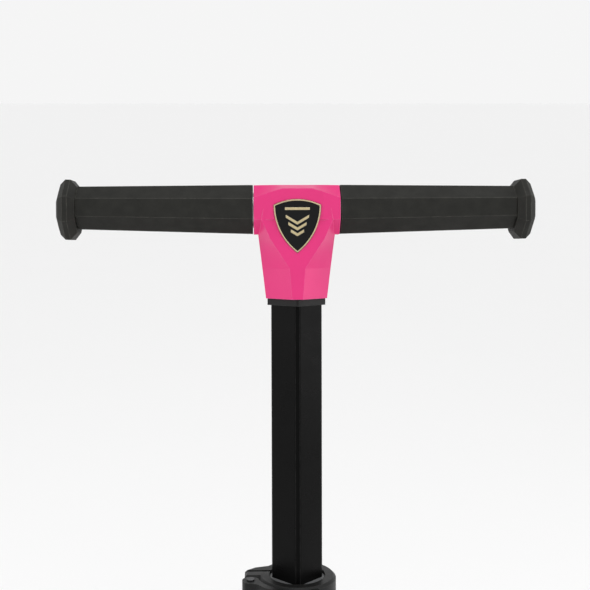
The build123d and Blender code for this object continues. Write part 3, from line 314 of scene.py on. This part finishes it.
def grid_faces(rows, columns, start=0, close_rows=True):
    """Quads over rows of closed rings; point (i, j) has number start + i * columns + j."""
    faces = []
    for i in range(rows if close_rows else rows - 1):
        here = start + i * columns
        there = start + (i + 1) % rows * columns
        for j in range(columns):
            following = (j + 1) % columns
            faces.append((here + j, there + j, there + following, here + following))
    return faces


def bar_faces(rows, start):
    """Faces of a bar of four-point sections: its sides and both ends."""
    last = start + 4 * (rows - 1)
    ends = [(start + 3, start + 2, start + 1, start), (last, last + 1, last + 2, last + 3)]
    return grid_faces(rows, 4, start, close_rows=False) + ends


# ---------------------------------------------------------------- tyres
TYRE_STEPS = 288
CREST_POINTS = 44
EDGE_ROUND = 0.9 * MM                            # the crown stops this far short of the sidewall
SEAT_INSET, BEAD_LIP = 3.0 * MM, 1.5 * MM
GROOVE_DEEP, GROOVE_HALF = 0.55 * MM, 0.75 * MM
GROOVE_FLOOR, GROOVE_CLEAR = 0.55, 1.25          # parts of GROOVE_HALF
NOTCH_DEEP, NOTCH_SLANT, NOTCH_EVERY, NOTCH_WIDE = 0.6 * MM, 0.8, 12, 2
NOTCH_SLACK = 0.05 * MM
# The sidewall has a band that stands back, between two slopes.
BAND_BACK, SHOULDER_DROP = 0.5 * MM, 1.2 * MM
BAND_TOP, BAND_TOP_SLOPE = 3.2 * MM, 3.8 * MM
BAND_FOOT, BAND_FOOT_SLOPE = 1.6 * MM, 2.2 * MM


def crown_points(edge, crest, grooves):
    """Profile over the tyre's crown, with a flat-bottomed groove at each place in grooves."""
    points = []
    for g in grooves:
        floor_half = GROOVE_FLOOR * GROOVE_HALF
        points += [(g - GROOVE_HALF, 0.0), (g - floor_half, GROOVE_DEEP)]
        points += [(g + floor_half, GROOVE_DEEP), (g + GROOVE_HALF, 0.0)]
    for k in range(CREST_POINTS + 1):
        x = -edge + 2 * edge * k / CREST_POINTS
        if all(abs(x - g) > GROOVE_HALF * GROOVE_CLEAR for g in grooves):
            points.append((x, 0.0))
    return [(x, crest(x) - cut) for x, cut in sorted(points)]


def tyre(name, body, cad, rim_gap, crown, grooves, notch):
    """Crowned tyre with grooves round it and slanted notches over its shoulders."""
    low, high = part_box(cad)
    middle, half = (low + high) / 2, (high.x - low.x) / 2
    radius = (high.z - low.z) / 2
    rim = radius - rim_gap
    bead = rim + BEAD_LIP
    edge = half - EDGE_ROUND
    ball = (half * half + crown * crown) / (2 * crown)

    def crest(x):
        return radius - ball + sqrt(max(0.0, ball * ball - x * x))

    side = [
        (half, crest(edge) - SHOULDER_DROP),
        (half, crest(half) - BAND_TOP),
        (half - BAND_BACK, crest(half) - BAND_TOP_SLOPE),
        (half - BAND_BACK, bead + BAND_FOOT_SLOPE),
        (half, bead + BAND_FOOT),
        (half, bead),
    ]
    seat = half - SEAT_INSET
    inner = [(seat, bead), (seat, rim), (-seat, rim), (-seat, bead)]
    profile = crown_points(edge, crest, grooves) + side + inner + [(-x, r) for x, r in reversed(side)]
    verts = []
    shoulder_in, shoulder_out = notch
    for i in range(TYRE_STEPS):
        turn = 2 * pi * i / TYRE_STEPS
        for x, r in profile:
            on_shoulder = shoulder_in <= abs(x) <= shoulder_out and r > crest(x) - NOTCH_SLACK
            if on_shoulder and (i + round(abs(x) / MM * NOTCH_SLANT)) % NOTCH_EVERY < NOTCH_WIDE:
                r -= NOTCH_DEEP
            verts.append((middle.x + x, middle.y + r * sin(turn), middle.z + r * cos(turn)))
    faces = grid_faces(TYRE_STEPS, len(profile))
    return piece(name, verts, faces, body, "black_tyre", cad, sharp=40)


FRONT_GROOVES, FRONT_NOTCH = (-2.6 * MM, 2.6 * MM), (5.5 * MM, 10.5 * MM)
REAR_GROOVES, REAR_NOTCH = (-6.5 * MM, 0.0, 6.5 * MM), (9.5 * MM, 16.0 * MM)
for side in ("left", "right"):
    tyre(f"tyre_front_{side}", f"front_wheel_{side}", f"front_{side}_tyre",
         rim_gap=18 * MM, crown=6 * MM, grooves=FRONT_GROOVES, notch=FRONT_NOTCH)
tyre("tyre_rear", "rear_wheel", "rear_tyre",
     rim_gap=14 * MM, crown=5 * MM, grooves=REAR_GROOVES, notch=REAR_NOTCH)


# ---------------------------------------------------------------- centring buffers
KING_TILT = radians(35)
KING_AT = Vector((0.0, -0.213, 0.060))
KING_UP = Vector((0.0, sin(KING_TILT), cos(KING_TILT)))
KING_ALONG = Vector((0.0, -cos(KING_TILT), sin(KING_TILT)))
ACROSS = Vector((1.0, 0.0, 0.0))
BUFFER_LOW, BUFFER_HIGH = 10.15 * MM, 24.85 * MM
# How far up the buffer each ring is, and its radius in millimetres.
BUFFER_RINGS = [
    (0.0, 0.0), (0.0, 7.4), (0.05, 7.9), (0.15, 8.0), (0.24, 7.5), (0.30, 6.6),
    (0.38, 7.2), (0.46, 7.3), (0.50, 6.5), (0.54, 7.3), (0.62, 7.2),
    (0.70, 6.6), (0.76, 7.5), (0.85, 8.0), (0.95, 7.9), (1.0, 7.4), (1.0, 0.0),
]
BUFFER_STEPS = 40
BUFFER_X = 30 * MM


def buffer(name, x):
    """Ribbed rubber block between the fixed head and the leaning beam."""
    foot = KING_AT + Vector((x, 0, 0)) + KING_UP * BUFFER_LOW
    top = KING_AT + Vector((x, 0, 0)) + KING_UP * BUFFER_HIGH
    verts = []
    for part, r in BUFFER_RINGS:
        at = foot.lerp(top, part)
        for k in range(BUFFER_STEPS):
            turn = 2 * pi * k / BUFFER_STEPS
            verts.append(at + (ACROSS * cos(turn) + KING_ALONG * sin(turn)) * r * MM)
    faces = grid_faces(len(BUFFER_RINGS), BUFFER_STEPS, close_rows=False)
    obj = piece(name, verts, faces, None, "buffer_rubber", "centring_buffers", sharp=50)
    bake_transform(obj)


buffer("centring_buffer_left", BUFFER_X)
buffer("centring_buffer_right", -BUFFER_X)


# ---------------------------------------------------------------- deck mat
MAT_LOW, MAT_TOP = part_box("deck_mat")
MAT_EDGE, RIM_WIDE = 0.5 * MM, 4.0 * MM
RIB_HIGH, RIB_WIDE, RIB_STEP, RIB_SLOPE = 0.9 * MM, 2.2 * MM, 6.5 * MM, 0.35
RIB_PARTS, RIB_GAP, RIB_SINK = 22, 2.2 * MM, 0.05 * MM
RIB_END_HIGH, RIB_END_WIDE = 0.25, 0.6           # how low and narrow a rib gets towards its ends
RIBS_FROM, RIBS_TO = 9 * MM, 6 * MM              # clear of ribs at the front and at the back
BAR_SECTION = ((-1, 0), (-0.62, 1), (0.62, 1), (1, 0))


def node_outline(name):
    """Half widths of a flat node's top face along Y, from the front to the back."""
    mesh = NODES[name].data
    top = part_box(name)[1].z
    edge = {}
    for vertex in mesh.vertices:
        if vertex.co.z > top - 0.05 * MM and vertex.co.x > 0:
            y = round(vertex.co.y, 5)
            edge[y] = max(edge.get(y, 0.0), vertex.co.x)
    return sorted(edge.items())


def half_width(outline, y):
    for (y0, x0), (y1, x1) in zip(outline, outline[1:]):
        if y0 <= y <= y1:
            return x0 + (x1 - x0) * (y - y0) / (y1 - y0)
    return 0.0


def add_chevron(verts, faces, y, reach, foot):
    """Adds a low chevron with sloping sides and tapered ends, its tip towards the front."""
    start = len(verts)
    for k in range(RIB_PARTS + 1):
        x = -reach + 2 * reach * k / RIB_PARTS
        at = Vector((x, y + RIB_SLOPE * abs(x), foot))
        fade = RIB_END_HIGH if k in (0, RIB_PARTS) else 1.0
        width = RIB_WIDE * (RIB_END_WIDE + (1 - RIB_END_WIDE) * fade)
        for side, up in BAR_SECTION:
            verts.append(at + Vector((0, side * width / 2, up * RIB_HIGH * fade)))
    faces += bar_faces(RIB_PARTS + 1, start)


def deck_mat():
    """Rubber mat: a rimmed sheet with raised chevrons between its rims."""
    outline = node_outline("deck_mat")
    front, back = outline[0][0], outline[-1][0]
    base = MAT_TOP.z - RIB_HIGH
    steps = [
        (0.0, MAT_LOW.z), (0.0, MAT_TOP.z - MAT_EDGE), (MAT_EDGE, MAT_TOP.z),
        (RIM_WIDE, MAT_TOP.z), (RIM_WIDE + MAT_EDGE, base),
    ]
    ring = [(x, y) for y, x in outline] + [(-x, y) for y, x in reversed(outline)]
    verts = []
    for inset, z in steps:
        for x, y in ring:
            sx = 1 if x > 0 else -1
            sy = 1 if y > (front + back) / 2 else -1
            inner_y = y - sy * inset if y in (front, back) else y
            verts.append(Vector((x - sx * inset, inner_y, z)))
    count = len(ring)
    faces = grid_faces(len(steps), count, close_rows=False)
    faces.append(tuple(range(count))[::-1])
    faces.append(tuple((len(steps) - 1) * count + k for k in range(count)))
    y = front + RIBS_FROM
    while y < back - RIBS_TO:
        reach = half_width(outline, y) - RIM_WIDE - RIB_GAP
        if y + RIB_SLOPE * reach < back - RIBS_TO:
            add_chevron(verts, faces, y, reach, base - RIB_SINK)
        y += RIB_STEP
    piece("deck_mat_ribbed", verts, faces, "deck", "black_rubber", "deck_mat", sharp=30)


deck_mat()


# ---------------------------------------------------------------- brake fender ribs
REAR_LOW, REAR_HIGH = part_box("rear_tyre")
REAR_AT = (REAR_LOW + REAR_HIGH) / 2
FENDER_R = 57.0 * MM
FENDER_RIBS = range(72, 109, 6)                  # degrees round the rear axle: 0 is back, 90 is up
FENDER_REACH, FENDER_RIB_HIGH, FENDER_RIB_HALF = 15.0 * MM, 0.8 * MM, 1.15
FENDER_END_HIGH = 0.2
FENDER_SECTION = ((-1, -0.3), (-0.55, 1), (0.55, 1), (1, -0.3))


def fender_ribs():
    """Foot ribs across the crown of the fender."""
    verts, faces = [], []
    for turn in FENDER_RIBS:
        start = len(verts)
        for k in range(RIB_PARTS + 1):
            x = -FENDER_REACH + 2 * FENDER_REACH * k / RIB_PARTS
            fade = FENDER_END_HIGH if k in (0, RIB_PARTS) else 1.0
            for side, up in FENDER_SECTION:
                angle = radians(turn + side * FENDER_RIB_HALF)
                r = FENDER_R + up * FENDER_RIB_HIGH * fade
                verts.append(Vector((x, REAR_AT.y + r * cos(angle), REAR_AT.z + r * sin(angle))))
        faces += bar_faces(RIB_PARTS + 1, start)
    piece("brake_fender_ribs", verts, faces, "brake", "pink_plastic", sharp=30)


fender_ribs()


# ---------------------------------------------------------------- floor and light
FLOOR_HALF = 400.0
FLOOR_CORNERS = [(x * FLOOR_HALF, y * FLOOR_HALF, 0) for x, y in ((-1, -1), (1, -1), (1, 1), (-1, 1))]
FLOOR_PALE = srgb(246, 246, 246)
SKY_EDGE, SKY_TOP = 0.915, 0.45                  # grey low down and overhead
SKY_EDGE_AT, SKY_TOP_AT = 0.30, 0.85


def lamp(name, kind, at, aim, energy, **settings):
    data = bpy.data.lights.new(name, kind)
    data.energy = energy
    for key, value in settings.items():
        setattr(data, key, value)
    obj = bpy.data.objects.new(name, data)
    obj.location = at
    obj.rotation_euler = (Vector(at) - Vector(aim)).to_track_quat("Z", "Y").to_euler()
    bpy.context.scene.collection.objects.link(obj)


def floor():
    """A pale floor, large enough to reach the horizon."""
    mesh = bpy.data.meshes.new("floor")
    mesh.from_pydata(FLOOR_CORNERS, [], [(0, 1, 2, 3)])
    obj = bpy.data.objects.new("floor", mesh)
    bpy.context.scene.collection.objects.link(obj)
    t = Tree("pale_floor")
    t.join(t.mix(t.noise(3.0), scaled(FLOOR_PALE, 0.99), FLOOR_PALE), t.shader.inputs["Base Color"])
    t.set(Roughness=0.9, Specular_IOR_Level=0.1)
    mesh.materials.append(t.material)


def sky():
    """A world that is nearly white low down and greyer overhead."""
    world = bpy.data.worlds.new("studio")
    world.use_nodes = True
    nodes, links = world.node_tree.nodes, world.node_tree.links
    coords = nodes.new("ShaderNodeTexCoord")
    split = nodes.new("ShaderNodeSeparateXYZ")
    ramp = nodes.new("ShaderNodeValToRGB")
    stops = ((SKY_EDGE_AT, SKY_EDGE), (SKY_TOP_AT, SKY_TOP))
    for stop, (position, grey) in zip(ramp.color_ramp.elements, stops):
        stop.position = position
        stop.color = (grey, grey, grey, 1)
    links.new(coords.outputs["Generated"], split.inputs["Vector"])
    links.new(split.outputs["Z"], ramp.inputs["Fac"])
    links.new(ramp.outputs["Color"], nodes["Background"].inputs["Color"])
    bpy.context.scene.world = world


floor()
lamp("soft_sun", "SUN", at=(0.5, -0.6, 2.6), aim=(0, 0, 0), energy=1.15, angle=radians(60))
lamp("right_panel", "AREA", at=(1.0, -0.15, 0.85), aim=(0, -0.1, 0.5), energy=2.2,
     shape="RECTANGLE", size=0.35, size_y=1.2)
lamp("left_panel", "AREA", at=(-1.2, -0.35, 0.95), aim=(0, -0.1, 0.5), energy=3.0,
     shape="RECTANGLE", size=0.5, size_y=1.2)
sky()
bpy.context.scene.view_settings.view_transform = "Standard"
